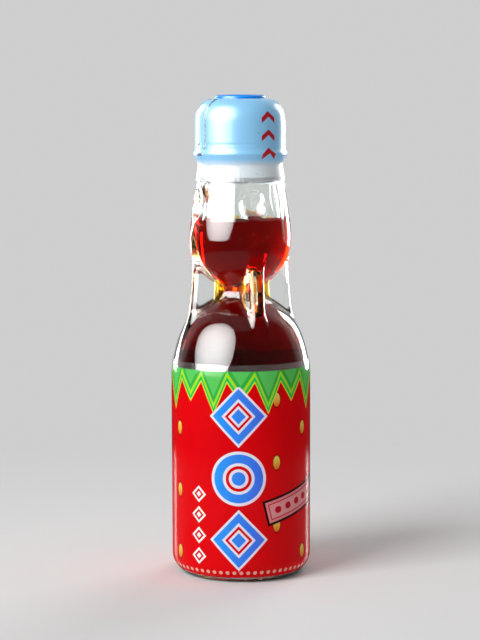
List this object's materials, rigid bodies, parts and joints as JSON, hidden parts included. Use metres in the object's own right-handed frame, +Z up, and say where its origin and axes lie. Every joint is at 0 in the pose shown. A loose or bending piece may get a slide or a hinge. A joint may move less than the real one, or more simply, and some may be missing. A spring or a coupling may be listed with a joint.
{
  "type": "marble stopper bottle",
  "caption": "Clear glass bottle closed by a marble against a rubber ring, with a pinched waist, round neck chamber, push-in opener, shrink film and printed sleeve.",
  "frame": {"origin": "centre of the foot ring, on the surface that the bottle stands on", "axes": "+Z up along the bottle; the front of the label faces -Y and +X is on the right"},
  "size_m": [0.0584, 0.0584, 0.2],
  "materials": {
    "clear_glass": "gloss",
    "red_drink": "gloss",
    "marble_glass": "gloss",
    "seal_rubber": "satin",
    "blue_plastic": "gloss",
    "plunger_plastic": "gloss",
    "pale_film": "gloss",
    "printed_sleeve": "gloss"
  },
  "bodies": {
    "bottle": {"glass_bottle": "clear_glass", "drink": "red_drink", "mouth_gasket": "seal_rubber", "mouth_collar": "blue_plastic", "label_sleeve": "printed_sleeve"},
    "marble": {"marble": "marble_glass"},
    "opener": {"opener_ring": "blue_plastic", "break_tabs": "blue_plastic", "seal_film": "pale_film"},
    "plunger": {"plunger": "plunger_plastic"},
    "tear_strip": {"tear_strip": "pale_film"}
  },
  "joints": [
    {"name": "opener_lift", "type": "slide", "parent": "bottle", "child": "opener", "axis": [0, 0, 1], "range_m": [0, 0.045]},
    {"name": "plunger_push", "type": "slide", "parent": "opener", "child": "plunger", "axis": [0, 0, -1], "range_m": [0, 0.0085]},
    {"name": "marble_drop", "type": "slide", "parent": "bottle", "child": "marble", "axis": [0, 0, -1], "range_m": [0, 0.0506], "deforming": ["drink"]},
    {"name": "strip_peel", "type": "hinge", "parent": "opener", "child": "tear_strip", "pos_m": [-0.01186, -0.00579, 0.1986], "axis": [-0.4384, 0.8988, 0], "range_deg": [0, 110]}
  ],
  "couplings": [
    {"joint": "marble_drop", "follows": "plunger_push", "ratio": 5.95}
  ]
}
